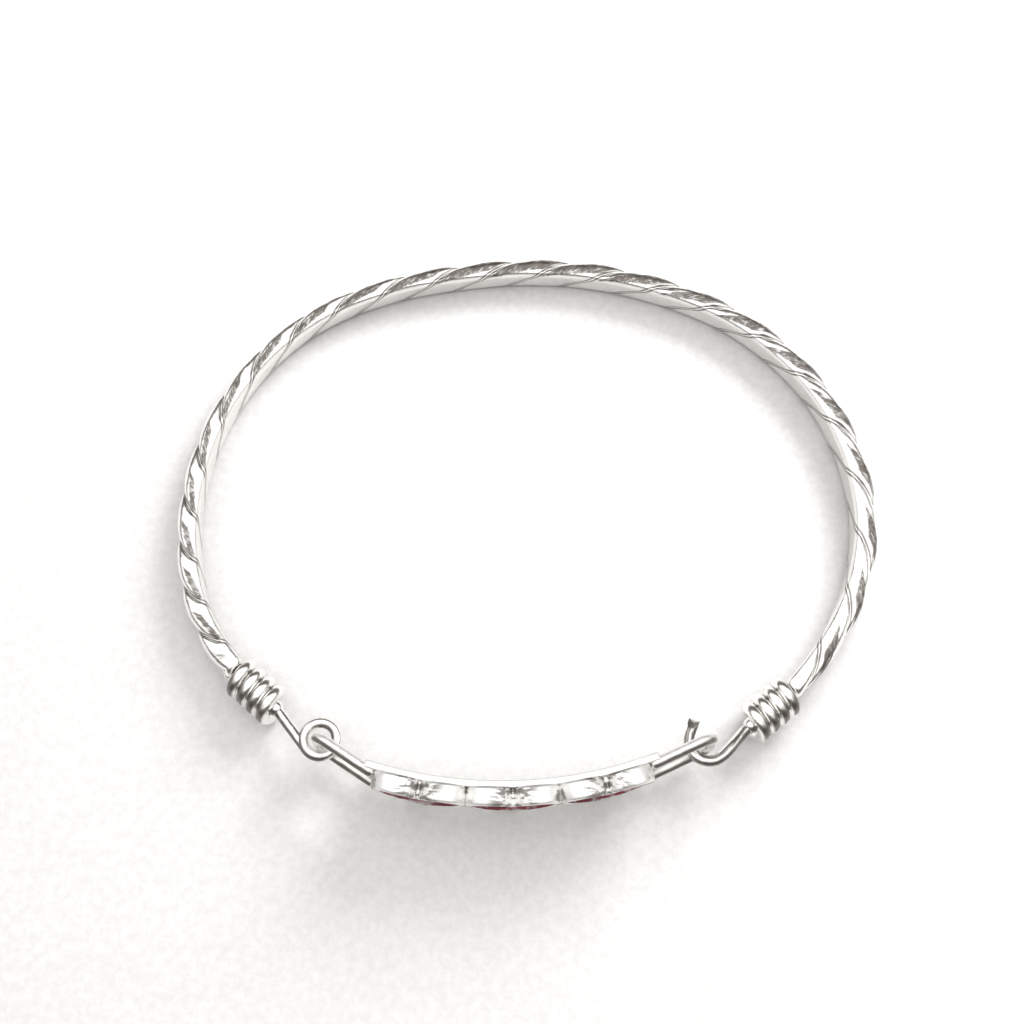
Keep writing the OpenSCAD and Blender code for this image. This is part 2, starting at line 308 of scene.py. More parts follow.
def sideways(way):
    """Level unit vectors to the left of each way."""
    return unit(np.stack([-way[..., 1], way[..., 0], 0 * way[..., 0]], -1))


def skin(rings, u=None, v=None, closed=False, flat_ends=False):
    """Skin over rings of points: each pair of rings is joined by four-sided faces, and each end is
    closed by a fan from the middle of its ring, unless the last ring joins the first. Flat ends
    aren't smoothed. A face's corners carry u, the distance round, and v, the distance along."""
    rows, cols = rings.shape[:2]
    if v is None:
        v = distances(rings.mean(1))
    if u is None:
        u = distances(np.concatenate([rings[rows // 2], rings[rows // 2, :1]]))
    if closed:
        v = np.append(v, 2 * v[-1] - v[-2])
    i, k = np.meshgrid(np.arange(rows - (not closed)), np.arange(cols), indexing="ij")
    j, m = (i + 1) % rows, (k + 1) % cols
    quads = np.stack([i * cols + k, i * cols + m, j * cols + m, j * cols + k], -1).reshape(-1, 4)
    around = np.stack([u[k], u[k + 1], u[k + 1], u[k]], -1)
    along = np.stack([v[i], v[i], v[i + 1], v[i + 1]], -1)
    corners = np.stack([around, along], -1).reshape(-1, 2)
    points = rings.reshape(-1, 3)
    faces = [(quads, corners, True)]
    if not closed:
        k = np.arange(cols)
        m = (k + 1) % cols
        n = len(points)
        last = (rows - 1) * cols
        points = np.concatenate([points, rings[0].mean(0)[None], rings[-1].mean(0)[None]])
        first_fan = np.stack([np.full(cols, n), m, k], -1)
        last_fan = np.stack([np.full(cols, n + 1), last + k, last + m], -1)
        for fan, end in ((first_fan, v[0]), (last_fan, v[-1])):
            around = np.stack([(u[k] + u[k + 1]) / 2, u[k], u[k + 1]], -1)
            uv = np.stack([around, np.full((cols, 3), end)], -1).reshape(-1, 2)
            faces.append((fan, uv, not flat_ends))
    return points, faces


def rings_along(path, radius, across, third, sides):
    """Rings of a round wire: each is the path's point plus the radius times the cosine of the angle
    round along the across vector, plus the sine along the third vector."""
    t = np.linspace(0, 2 * np.pi, sides, endpoint=False)[None, :, None]
    radius = np.broadcast_to(radius, len(path))[:, None, None]
    return path[:, None] + radius * (across[:, None] * np.cos(t) + third[:, None] * np.sin(t))


def tube(path, radius, across, closed=False):
    """Round wire along a path. Each end of an open one is a dome, whose rings shrink as a cosine
    and move out as a sine."""
    path = np.asarray(path, float)
    if closed:
        way = unit(np.roll(path, -1, 0) - np.roll(path, 1, 0))
    else:
        way = unit(np.gradient(path, axis=0))
    across = np.broadcast_to(across, path.shape)
    across = unit(across - way * np.sum(across * way, -1, keepdims=True))
    size = np.full(len(path), float(radius))
    if not closed:
        rise = np.radians([82, 66, 50, 34, 18])
        count = len(rise)
        out, shrink = radius * np.sin(rise)[:, None], radius * np.cos(rise)
        path = np.concatenate([path[0] - out * way[0], path, path[-1] + out[::-1] * way[-1]])
        size = np.concatenate([shrink, size, shrink[::-1]])
        across = np.concatenate([[across[0]] * count, across, [across[-1]] * count])
        way = np.concatenate([[way[0]] * count, way, [way[-1]] * count])
    rings = rings_along(path, size, across, np.cross(way, across), 24)
    return skin(rings, closed=closed)


def arc(centre, radius, start, end, count):
    """Points on a circle: the centre plus the radius times the heading, from start to end."""
    return np.asarray(centre) + radius * heading(np.linspace(start, end, count))


def at_height(points, z):
    """Flat points lifted to a height."""
    z = np.broadcast_to(z, points.shape[:-1])
    return np.concatenate([points, z[..., None]], -1)


def twist_rings(share, points, way, sizes):
    """Rings of the twisted band. Round a ring, the distance from the middle is the radius, less a
    wide and a narrow bell at each groove, plus a fine bell for the wire that lies in it. The rings
    turn with the share of the twist made so far. Towards the wrist the outline is squared to a
    flat, as one over the fifth root of two fifth powers, and the grooves are pressed almost away.
    Also returns the way each point faces round the band: the cosine and sine of its angle up from
    the outside."""
    radius = mm(sizes.thickness) / 2 * smooth(BAND_THICKNESS, share)
    turn = sizes.groove_start - math.pi * sizes.half_turns * smooth(TWIST_SPREAD, share)
    # Points crowd towards the grooves, where the surface bends most
    w = np.arange(BAND_AROUND // 2) / (BAND_AROUND // 2)
    a = 180 * (w - CROWDING * np.sin(2 * np.pi * w) / (2 * np.pi))
    near = np.minimum(a, 180 - a)
    groove = sizes.shoulder_fall * bell(near, SHOULDER_WIDTH)
    groove = np.tile(groove + sizes.groove_cut * bell(near, GROOVE_WIDTH), 2)
    ridge = np.tile(mm(sizes.ridge) * bell(near, RIDGE_WIDTH), 2)
    a = np.radians(np.concatenate([a, a + 180]))
    out = sideways(way)
    up = np.cross(way, out)
    angle = turn[:, None] + a
    c, s = np.cos(angle), np.sin(angle)
    inward = np.maximum(-c, 0) / sizes.inner_flat
    powers = inward**CORNER_POWER + np.abs(s) ** CORNER_POWER
    squared = np.maximum(powers, 1e-9) ** (-1 / CORNER_POWER)
    left = 1 - PRESSED * np.clip(-2 * c, 0, 1)
    r = radius[:, None] * np.where(c > 0, 1, squared) * (1 - left * groove) + left * ridge
    spoke = out[:, None] * c[..., None] + up[:, None] * s[..., None]
    return points[:, None] + r[..., None] * spoke, a, np.stack([c, s, 0 * c], -1)


def band_parts(sizes, wires):
    """The twisted band with a plain neck at each end: twist rings along the path, which close in
    on the neck's ring in a rounded end that runs a little way into the wrap."""
    neck = mm(wires.neck) / 2
    left_near, left_far = wrap_ends(LEFT_WRAP, wires)
    right_near, right_far = wrap_ends(RIGHT_WRAP, wires)
    start = bearing(left_near) + 360 - SHOULDER
    end = bearing(right_near) + SHOULDER
    # A finer line gives the angles of even steps along the path
    fine = np.linspace(start, end, 6 * BAND_STEPS)
    run = distances(band_point(fine))
    s = np.linspace(0, run[-1], BAND_STEPS)
    points = band_point(np.interp(s, run, fine))
    way = unit(np.gradient(points, axis=0))
    rings, a, facing = twist_rings(s / run[-1], points, way, sizes)
    closing_angles = np.radians([22, 45, 68, 90])[:, None, None]

    def neck_rings(near, far, ring, middle):
        """Rings from the last twist ring to the neck: the middle moves on as a sine while the ring
        draws in as one less a cosine, and then the neck runs into the wrap."""
        line = unit(far - near)
        spoke = unit(ring - middle)
        seat = neck * unit(spoke - line * np.sum(spoke * line, -1, keepdims=True))
        end = near + END_IN * line
        closing = middle + (end - middle) * np.sin(closing_angles) + (ring - middle)
        closing = closing + (seat - (ring - middle)) * (1 - np.cos(closing_angles))
        return np.concatenate([closing, (near + NECK_SHARE * (far - near) + seat)[None]])

    head = neck_rings(left_near, left_far, rings[0], points[0])[::-1]
    tail = neck_rings(right_near, right_far, rings[-1], points[-1])
    beyond = NECK_STEP * np.arange(1, len(head) + 1)
    v = np.concatenate([s[0] - beyond[::-1], s, s[-1] + beyond])
    u = np.append(a, a[0] + 2 * np.pi) * mm(sizes.thickness) / 2
    # The necks carry no painted flank reflections, so they face straight down
    plain = np.tile([0.0, -1, 0], (len(head), BAND_AROUND, 1))
    facing = np.concatenate([plain, facing, plain]).reshape(-1, 3)
    points, faces = skin(np.concatenate([head, rings, tail]), u, v)
    return [(points, faces, np.concatenate([facing, plain[0, :2]]))], s[-1]


def wrap_parts(wrap, wires):
    """Wound wire: its middle goes round the neck at one radius while it moves along by a pitch
    for each turn."""
    near, far = wrap_ends(wrap, wires)
    name, _, _, hand = wrap
    wire = mm(getattr(wires, name))
    way = unit(far - near)
    out = sideways(way)
    up = np.cross(way, out)
    t = np.radians(np.linspace(0, 360 * wires.turns, 130))[:, None]
    turned = t + math.radians(WIND_START)
    spoke = hand * out * np.cos(turned) + up * np.sin(turned)
    r = mm(wires.neck) / 2 + FIT + wire / 2
    line = near + way * (wire / 2 + wrap_pitch(wire) * t / (2 * np.pi)) + r * spoke
    return [tube(line, wire / 2, spoke)]


def plug_part(near, far, neck):
    """Round end of a neck: a straight wire that fills the front end of a wrap."""
    way = unit(far - near)
    line = between(near, far, np.linspace(NECK_SHARE + 0.03, 0.9, 4))
    return tube(line, neck / 2, sideways(way))


def touch(p, centre, radius, side):
    """Angle at which a line from p touches a circle: the angle of p from the centre, plus or minus
    the arc cosine of the radius over its distance."""
    v = np.asarray(p)[:2] - np.asarray(centre)
    return math.degrees(math.atan2(v[1], v[0]) + side * math.acos(radius / np.hypot(*v)))


def loop_parts(wires):
    """Closed loop, the stem that runs into it along a tangent, and the plug in the wrap."""
    near, far = wrap_ends(LEFT_WRAP, wires)
    r, wire = mm(wires.loop_radius), mm(wires.loop)
    ring = at_height(arc(LOOP_AT, r, 0, 360, 73)[:-1], LINK_Z)
    foot_angle = touch(far, LOOP_AT, r, 1)
    foot = at_height(arc(LOOP_AT, r, foot_angle, foot_angle, 1), LINK_Z)[0]
    # The stem's root lies inside the wrap
    root = far - 0.4 * unit(far - near)
    stem = between(root, foot, np.linspace(0, 1, 16))
    up = np.array([0, 0, 1.0])
    return [
        tube(ring, wire / 2, up, closed=True),
        tube(stem, wire / 2, sideways(unit(foot - root))),
        plug_part(near, far, mm(wires.neck)),
    ]


def hook_parts(wires):
    """Hook: a straight stem, a wide bend, a close bend and a straight arm. The last rings slide
    along the arm onto a slanting plane, which cuts the tip off."""
    near, far = wrap_ends(RIGHT_WRAP, wires)
    r, wire, arm = mm(wires.hook_radius), mm(wires.hook), mm(wires.hook_arm)
    straight = 14
    hook_at = np.array(HOOK_AT)
    sweep_at = hook_at - (SWEEP_R - r) * heading(SWEEP_TO)
    arm_at = hook_at + r * heading(ARM_FROM)
    arm_way = heading(ARM_FROM - 90)
    sweep = arc(sweep_at, SWEEP_R, SWEEP_FROM, SWEEP_TO, 10)
    stem = between(far[:2], sweep[0], np.linspace(0, 0.92, straight))
    free = between(arm_at, arm_at + arm * arm_way, np.linspace(0.08, 1, straight))
    flat = np.concatenate([stem, sweep, arc(hook_at, r, SWEEP_TO - 6, ARM_FROM, 44), free])
    # The stem climbs to the hook's height in a smooth step
    climb = np.clip(np.arange(len(flat)) / straight, 0, 1)
    path = at_height(flat, far[2] + (LINK_Z - far[2]) * climb * climb * (3 - 2 * climb))
    way = unit(np.gradient(path, axis=0))
    out = sideways(way)
    up = np.cross(way, out)
    rings = rings_along(path, wire / 2, out, up, 32)
    # The cut faces forward, to the left of the arm and up
    aside, rise = np.radians([CUT_ASIDE, CUT_UP])
    level = np.cos(rise) * out[-1] + np.sin(rise) * up[-1]
    cut = np.sin(aside) * way[-1] + np.cos(aside) * level
    slide = np.minimum(-(rings[-1] - path[-1]) @ cut / (way[-1] @ cut), 0)
    share = np.linspace(0, 1, straight)[:, None, None]
    rings[-straight:] += share * slide[None, :, None] * way[-1]
    edge = rings[-1].copy()
    middle = edge.mean(0)
    lip = middle + 0.9 * (edge - middle)
    rings = np.concatenate([rings[:-1], (edge - 0.05 * way[-1])[None], lip[None]])
    points, faces = skin(rings, flat_ends=True)
    # The last ring and the middle of the tip are sawn
    own = np.full(len(points), HOOK_WIRE_MARK)
    own[-len(lip) - 2 : -2] = own[-1] = SAWN_MARK
    return [(points, faces, own), plug_part(near, far, mm(wires.neck))]


def heart(inset, height):
    """Heart outline, drawn in by inset: a tip arc, a straight flank, a lobe arc and a notch arc,
    each at its own radius less or plus the inset, and their mirror images. A tenth of a millimetre
    of rounding in the notch keeps its points apart."""
    soft, lobe_size, lobe_x, tip_size, tip_flat = 0.1, 2.19, 1.94, 0.75, 18
    lobe_r, tip_r = lobe_size + soft, tip_size + soft
    lobe = np.array([lobe_x, height - lobe_r + soft])
    tip = np.array([0, tip_size * math.cos(math.radians(tip_flat))])
    notch = np.array([0, lobe[1] + math.sqrt(lobe_r**2 - lobe_x**2)])
    v = lobe - tip
    flank = math.degrees(math.atan2(v[1], v[0]) - math.acos((tip_r - lobe_r) / np.hypot(*v)))
    inward = bearing(notch - lobe)
    r, q = lobe_r - soft - inset, tip_r - soft - inset
    tip_arc = arc(tip, q, tip_flat - 90, flank, 6)
    lobe_arc = arc(lobe, r, flank, inward, 34)
    side = between(tip_arc[-1], lobe_arc[0], np.linspace(0, 1, 12)[1:-1])
    notch_arc = arc(notch, soft + inset, inward - 180, -90, 6)[1:]
    half = np.concatenate([tip_arc, side, lobe_arc, notch_arc])
    return np.concatenate([half, half[-2::-1] * [-1, 1]])


def placed(local, turn):
    """Points beside the plate's middle, turned to a heart's place on the arc."""
    x, y, z = local[..., 0], local[..., 1], local[..., 2]
    c, s = heading(PLATE_TURN + turn)
    return np.stack([PLATE_AT[0] + x * c - y * s, PLATE_AT[1] + x * s + y * c, z], -1)


def on_arc(flat, radius, turn):
    """Points of an upright heart laid on the leaning plate: across stays across, up stays up, and
    the depth is the square root of the radius squared less the distance across squared, where the
    radius grows downwards by the lean."""
    x, z = flat[..., 0], flat[..., 1]
    y = -np.sqrt((radius + math.tan(LEAN) * (EYELET_Z - z)) ** 2 - x**2)
    return placed(np.stack([x, y, z], -1), turn)


def heart_part(turn, plate):
    """Raised heart: outlines at changing insets and depths, from the back, round the outer edge,
    over the rim and down into the pocket, whose floor shrinks to its middle."""
    height, front = mm(plate.heart_height), mm(plate.radius)
    back, rim = front - mm(plate.heart), mm(plate.rim)
    floor = front - mm(plate.pocket)
    steps = [
        (0.1, back - 0.08), (0.1, back), (0.03, back + 0.03), (0, back + 0.12), (0, front - 0.26),
        (0.02, front - 0.14), (0.08, front - 0.05), (0.17, front), (rim - 0.14, front),
        (rim - 0.05, front - 0.04), (rim, front - 0.12), (rim, floor),
    ]
    rings = [on_arc(heart(inset, height), r, turn) for inset, r in steps]
    inner, middle = heart(rim, height), np.array([0, HEART_MIDDLE * height])
    floor_shares = (0.8, 0.55, 0.3, 0.1)
    for share in floor_shares:
        rings.append(on_arc(between(middle, inner, share), floor, turn))
    points, faces = skin(np.array(rings))
    across = [heart(inset, height)[:, 0] for inset, _ in steps]
    across += [inner[:, 0]] * len(floor_shares)
    # The two middles of its ends lie on the heart's middle line
    return points, faces, np.append(np.ravel(across), [0, 0])


def enamel_part(turn, plate):
    """Enamel of a heart: its outline sits in the pocket with a little room, its front is a ball's
    surface that rises to the middle, and the edge curls up to the silver as melted glass does."""
    height, front = mm(plate.heart_height), mm(plate.radius)
    floor = front - mm(plate.pocket) + FIT
    outline = heart(mm(plate.rim) + FIT, height)
    middle = np.array([0, HEART_MIDDLE * height])
    middle_y = ENAMEL_BALL * math.cos(LEAN) - front - mm(plate.dome)
    middle_z = middle[1] - ENAMEL_BALL * math.sin(LEAN)

    def dome(flat, drop):
        """Front of the enamel: the ball's middle less the square root of what the distances across
        and up leave of its radius, pushed back by a drop at the edge."""
        x, z = flat[..., 0], flat[..., 1]
        y = middle_y - np.sqrt(ENAMEL_BALL**2 - x**2 - (z - middle_z) ** 2) + drop
        return placed(np.stack([x, y, z], -1), turn)

    rings = [on_arc(between(middle, outline, share), floor, turn) for share in (0.3, 0.7, 1)]
    for share, drop in (
        (1, 0.3), (1, 0.1), (0.995, 0.04), (0.97, 0.01), (0.93, 0), (0.85, 0), (0.75, 0),
        (0.62, 0), (0.5, 0), (0.36, 0), (0.22, 0), (0.1, 0),
    ):
        rings.append(dome(between(middle, outline, share), drop))
    return skin(np.array(rings))


def strip_part(plate):
    """Backing strip: a rounded oblong carried round an arc about the plate's middle, leant as the
    plate is."""
    outer = mm(plate.radius - plate.heart)
    inner = outer - mm(plate.strip)
    low, high, soft, half = STRIP_LOW, STRIP_HIGH, STRIP_SOFT, STRIP_HALF
    corners = [
        ((outer - soft, low + soft), -90), ((outer - soft, high - soft), 0),
        ((inner + soft, high - soft), 90), ((inner + soft, low + soft), 180),
    ]
    profile = np.concatenate([arc(c, soft, a, a + 90, 6) for c, a in corners])
    middle = profile.mean(0)
    turn = np.linspace(-half + 0.15, half - 0.15, 90)
    turn = np.concatenate([[-half, -half], turn, [half, half]])
    # Its ends are rounded over by their last rings
    shrink = np.ones(len(turn))
    shrink[[0, -1]], shrink[[1, -2]] = 0.8, 0.96
    flat = middle + shrink[:, None, None] * (profile - middle)
    way = heading(PLATE_TURN - 90 + turn)[:, None]
    leant = flat[..., :1] + math.tan(LEAN) * (EYELET_Z - flat[..., 1:])
    seen = np.asarray(PLATE_AT) + leant * way
    points, faces = skin(np.concatenate([seen, flat[..., 1:]], -1))
    return points, faces, np.full(len(points), STRIP_MARK)


def eyelet_part(bar, side, plate):
    """Upright oblong eyelet: from the plate along its lower bar, round a quarter circle, up the
    outer bar, round again and back along the upper bar, leant so that the lower bar is outside."""
    wire, corner = mm(plate.eyelet), EYELET_CORNER
    half = (mm(plate.eyelet_height) - wire) / 2
    mid = mm(plate.radius - (plate.heart + plate.strip) / 2)
    end = np.asarray(PLATE_AT) + mid * heading(PLATE_TURN - 90 + side * (STRIP_HALF - BAR_IN))
    v = end - np.asarray(bar)
    reach, clear_of_corner = np.hypot(*v), corner + 0.2
    lower = np.stack([np.linspace(reach, clear_of_corner, 14), np.full(14, -half)], -1)
    upper = lower[::-1] * [1, -1]
    rise = np.linspace(-half + clear_of_corner, half - clear_of_corner, 12)
    flat = np.concatenate(
        [
            lower,
            arc((corner, corner - half), corner, -90, -180, 14),
            np.stack([0 * rise, rise], -1),
            arc((corner, half - corner), corner, 180, 90, 14),
            upper,
        ]
    )
    lean = math.radians(-EYELET_LEAN if v[0] > 0 else EYELET_LEAN)
    c, s = v / reach
    turn = np.array([[c, -s, 0], [s, c, 0], [0, 0, 1]])
    c, s = math.cos(lean), math.sin(lean)
    place = turn @ np.array([[1, 0, 0], [0, c, -s], [0, s, c]])
    local = np.stack([flat[:, 0], 0 * flat[:, 0], flat[:, 1]], -1)
    path = local @ place.T + [bar[0], bar[1], EYELET_Z]
    points, faces = tube(path, wire / 2, place[:, 1])
    return points, faces, np.full(len(points), EYELET_MARK)


def facing_of(mesh):
    """Way that each point of a mesh faces: its normal's share away from the bangle's middle, and
    its share upwards."""
    normals, places = (np.empty(3 * len(mesh.vertices), np.float32) for _ in range(2))
    mesh.vertex_normals.foreach_get("vector", normals)
    mesh.vertices.foreach_get("co", places)
    normals, places = normals.reshape(-1, 3), places.reshape(-1, 3)
    away = unit(places[:, :2])
    return np.stack([np.sum(normals[:, :2] * away, -1), normals[:, 2]], -1)


def put(name, data):
    """Puts an object into the scene."""
    thing = bpy.data.objects.new(name, data)
    bpy.context.scene.collection.objects.link(thing)
    return thing


def put_mesh(name, parts, material, body, node):
    """Puts closed skins into one mesh in metres, with their faces turned outwards: a skin whose
    signed volume is negative has its faces reversed. A skin can bring its own marks, either the
    three numbers of each point, or only the third."""
    points, faces, uvs, rounded, marked = [], [], [], [], []
    base = 0
    for part_points, groups, *extra in parts:
        own = extra[0] if extra else np.zeros(len(part_points))
        marked.append(own.reshape(len(part_points), -1))
        tris = np.concatenate(
            [f[:, [0, i, i + 1]] for f, _, _ in groups for i in range(1, f.shape[1] - 1)]
        )
        a, b, c = (part_points[tris[:, i]] for i in range(3))
        inside_out = np.sum(a * np.cross(b, c)) < 0
        for f, uv, is_round in groups:
            uv = uv.reshape(len(f), -1, 2)
            if inside_out:
                f, uv = f[:, ::-1], uv[:, ::-1]
            faces += (f + base).tolist()
            uvs.append(uv.reshape(-1, 2))
            rounded.append(np.full(len(f), is_round))
        points.append(part_points)
        base += len(part_points)
    mesh = bpy.data.meshes.new(name)
    mesh.from_pydata((MM * (np.concatenate(points) + FRAME_SHIFT)).tolist(), [], faces)
    mesh.polygons.foreach_set("use_smooth", np.concatenate(rounded))
    layer = mesh.uv_layers.new(name="surface")
    layer.data.foreach_set("uv", np.concatenate(uvs).astype(np.float32).ravel())
    mesh.materials.append(material)
    mesh.update()
    marked = np.concatenate(marked)
    if marked.shape[1] == 1:
        marked = np.concatenate([facing_of(mesh), marked], -1)
    marks = mesh.attributes.new("marks", "FLOAT_VECTOR", "POINT")
    marks.data.foreach_set("vector", marked.astype(np.float32).ravel())
    piece = put(name, mesh)
    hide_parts(node)
    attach(piece, body)


# Materials


class Value:
    """A socket that holds a number. Sums on it add Math nodes."""

    def __init__(self, sheet, socket):
        self.sheet, self.socket = sheet, socket

    def sum(self, operation, first, second):
        """A Math node on two numbers."""
        node = self.sheet.node("ShaderNodeMath", {"operation": operation}, {0: first, 1: second})
        return Value(self.sheet, node.outputs[0])

    def __add__(self, other):
        return self.sum("ADD", self, other)

    def __radd__(self, other):
        return self.sum("ADD", other, self)

    def __sub__(self, other):
        return self.sum("SUBTRACT", self, other)

    def __rsub__(self, other):
        return self.sum("SUBTRACT", other, self)

    def __mul__(self, other):
        return self.sum("MULTIPLY", self, other)

    def __rmul__(self, other):
        return self.sum("MULTIPLY", other, self)

    def __truediv__(self, other):
        return self.sum("DIVIDE", self, other)

    def remainder(self, other):
        """What is left after whole steps of a size."""
        return self.sum("MODULO", self, other)

    def to_nearest(self, step):
        """Distance to the nearest whole number of steps."""
        return self.sum("PINGPONG", self, step / 2)

    def size(self):
        """Distance from zero."""
        return self.sum("ABSOLUTE", self, 0.0)

    def or_more(self, other):
        """The greater of two numbers."""
        return self.sum("MAXIMUM", self, other)

    def rises(self, low, high):
        """0 below low and 1 above high, with a smooth step between."""
        node = self.sheet.node(
            "ShaderNodeMapRange",
            {"interpolation_type": "SMOOTHSTEP"},
            {"Value": self, "From Min": low, "From Max": high},
        )
        return Value(self.sheet, node.outputs[0])


class Sheet:
    """A material's or the world's node tree."""

    def __init__(self, owner):
        owner.use_nodes = True
        self.owner, self.tree = owner, owner.node_tree
        self.tree.nodes.clear()

    def node(self, kind, settings=None, inputs=None):
        """Adds a node, sets it, and then gives its sockets their values or links."""
        node = self.tree.nodes.new(kind)
        for name, value in (settings or {}).items():
            setattr(node, name, value)
        for name, value in (inputs or {}).items():
            if isinstance(value, Value):
                value = value.socket
            if isinstance(value, bpy.types.NodeSocket):
                self.tree.links.new(value, node.inputs[name])
            else:
                node.inputs[name].default_value = value
        return node

    def parts(self, vector):
        """The three numbers of a vector."""
        node = self.node("ShaderNodeSeparateXYZ", None, {0: vector})
        return [Value(self, part) for part in node.outputs]

    def ramp(self, value, stops):
        """Colour ramp through stops of place and colour."""
        node = self.node("ShaderNodeValToRGB", None, {"Fac": value})
        ramp = node.color_ramp
        while len(ramp.elements) < len(stops):
            ramp.elements.new(0.5)
        for element, (place, shade) in zip(ramp.elements, stops):
            element.position = place
            element.color = (*shade, 1)
        return node.outputs["Color"]

    def mix(self, share, first, second):
        """Colour between two, by a share."""
        node = self.node("ShaderNodeMix", {"data_type": "RGBA"}, {0: share, 6: first, 7: second})
        return node.outputs[2]

    def noise(self, vector, scale, detail, roughness):
        """Noise between 0 and 1."""
        node = self.node(
            "ShaderNodeTexNoise",
            None,
            {"Vector": vector, "Scale": scale, "Detail": detail, "Roughness": roughness},
        )
        return Value(self, node.outputs["Fac"])

    def lines(self, vector, scales, detail, roughness):
        """Noise with a scale for each axis, which draws it out into lines."""
        node = self.node("ShaderNodeMapping", None, {"Vector": vector, "Scale": scales})
        return self.noise(node.outputs["Vector"], 1.0, detail, roughness)

    def bump(self, height, distance, onto=None):
        """Normal bent by a height that is 0 to 1, times a distance in metres."""
        inputs = {"Height": height, "Distance": distance, "Strength": 1.0}
        if onto is not None:
            inputs["Normal"] = onto
        return self.node("ShaderNodeBump", None, inputs).outputs["Normal"]

    def place(self):
        """Object coordinates, in metres."""
        return self.node("ShaderNodeTexCoord").outputs["Object"]

    def surface(self):
        """Distance round and distance along, in millimetres, from the piece's own UV map."""
        return self.node("ShaderNodeUVMap", {"uv_map": "surface"}).outputs["UV"]

    def marks(self):
        """What a piece keeps for each point: the degrees it faces up from the outside of the
        bangle, how square it is to the wire's run, and a third number of its own."""
        vector = self.node("ShaderNodeAttribute", {"attribute_name": "marks"}).outputs["Vector"]
        c, s, own = self.parts(vector)
        return s.sum("ARCTAN2", s, c) * math.degrees(1), c * c + s * s, own

    def painted_flank_reflection(self, uv, place):
        """Share of painted dark reflection on the upper outer flank of a wire, in streaks along it.
        """
        facing, square, _ = self.marks()
        streaks = self.lines(uv, (4.0, 0.8, 1.0), 5, 0.65)
        mottle = self.noise(place, 1400.0, 4, 0.6)
        ragged = facing + (streaks - 0.5) * 40
        flank = ragged.rises(8, 30) * (1 - ragged.rises(62, 92)) * square.rises(0.25, 0.7)
        return flank * (0.95 + (streaks - 0.5) * 1.3 + (mottle - 0.5) * 0.8).rises(0.1, 0.9)

    def principled(self, looks):
        """Finishes with a Principled shader whose sockets have these values or links."""
        return self.finish(self.node("ShaderNodeBsdfPrincipled", None, looks))

    def silver(self, finish, tarnish_and_painted_reflection, roughness, normal):
        """Finishes with silver that a share of tarnish and painted dark reflection darkens."""
        shade = self.mix(tarnish_and_painted_reflection, clear(finish.silver), clear(finish.tarnish_and_painted_reflection))
        return self.principled(
            {"Base Color": shade, "Metallic": 1.0, "Roughness": roughness, "Normal": normal}
        )

    def finish(self, shader):
        """Links the shader to the output, and gives back the material or the world."""
        kind = "ShaderNodeOutputMaterial"
        if shader.bl_idname == "ShaderNodeBackground":
            kind = "ShaderNodeOutputWorld"
        self.node(kind, None, {"Surface": shader.outputs[0]})
        return self.owner


def clear(shade):
    """A colour with a fourth value for full opacity."""
    return (*shade, 1.0)


def band_silver(finish, band, length):
    """Silver of the band. Tarnish lies along both sides of each groove's fine wire, and a painted
    dark reflection lies in long streaks on the hammered upper flank of each strand: where the
    surface faces within half a mark's width of its middle, which both change in a straight line
    across the strand. The rest is polished, with drawn lines along the strands and soft hammered
    waves."""
    sheet = Sheet(bpy.data.materials.new("twisted silver"))
    uv, place = sheet.surface(), sheet.place()
    around, along, _ = sheet.parts(uv)
    half = math.pi * mm(band.thickness) / 2
    # Distance from the nearest groove, in millimetres round the band
    near = around.to_nearest(half)
    # Degrees up from the groove below, and degrees up from the band's outside
    above = around.remainder(half) * (180 / half)
    facing, _, _ = sheet.marks()
    drawn = sheet.lines(uv, (9.0, 0.9, 1.0), 6, 0.6)
    streaks = sheet.lines(uv, (5.5, 1.1, 1.0), 6, 0.7)
    mottle = sheet.noise(place, 1500.0, 5, 0.6)
    waves = sheet.noise(place, 420.0, 2, 0.5)
    twisted = along.rises(0.1, 0.7) * (1 - along.rises(length - 0.7, length - 0.1))
    groove = (1 - near.rises(0.14, 0.42)) * near.rises(0.05, 0.13) * twisted
    # Each number of the painted reflections' table, blended from row to row along the band
    shares, *columns = zip(*BAND_DARK_REFLECTIONS)
    share = along / length
    steps = [share.rises(a, b) for a, b in zip(shares, shares[1:])]
    middle, middle_change, width, width_change, start, end = (
        sum((step * (b - a) for step, a, b in zip(steps, row, row[1:])), row[0]) for row in columns
    )
    # Painted dark reflection on each strand's upper flank, in streaks, where the surface faces near
    # a mark's middle
    off = facing + (streaks - 0.5) * 36 - middle - middle_change * above
    reach = width + width_change * above
    flank = 1 - off.size().rises(reach - 4, reach + 5)
    ragged = above + (streaks - 0.5) * 30
    flank = flank * ragged.rises(start - 5, start + 5) * (1 - ragged.rises(end - 6, end + 6))
    flank = flank * (1 - groove) * near.rises(0.1, 0.25)
    flank = flank * along.rises(0.4, 1.4) * (1 - along.rises(length - 1.6, length - 0.6))
    flank = flank * (0.78 + (streaks - 0.5) * 2.1 + (mottle - 0.5) * 1.3).rises(0.1, 0.9) * 0.9
    # Darker of the tarnish in the grooves and the painted dark reflection on the flanks
    tarnish_and_painted_reflection = (groove * (0.55 + mottle * 0.6)).or_more(flank)
    # The corner between the upper flank and the flat inside is rubbed matt
    corner = 1 - (facing - 131).size().rises(4, 16)
    roughness = finish.polish + drawn * 0.1 + tarnish_and_painted_reflection * 0.25 + corner * 0.3
    soft = sheet.bump(waves, 0.00016)
    fine = sheet.bump(drawn, 0.000014, soft)
    grain = sheet.bump(mottle + flank * streaks, 0.00001, fine)
    return sheet.silver(finish, tarnish_and_painted_reflection, roughness, grain)


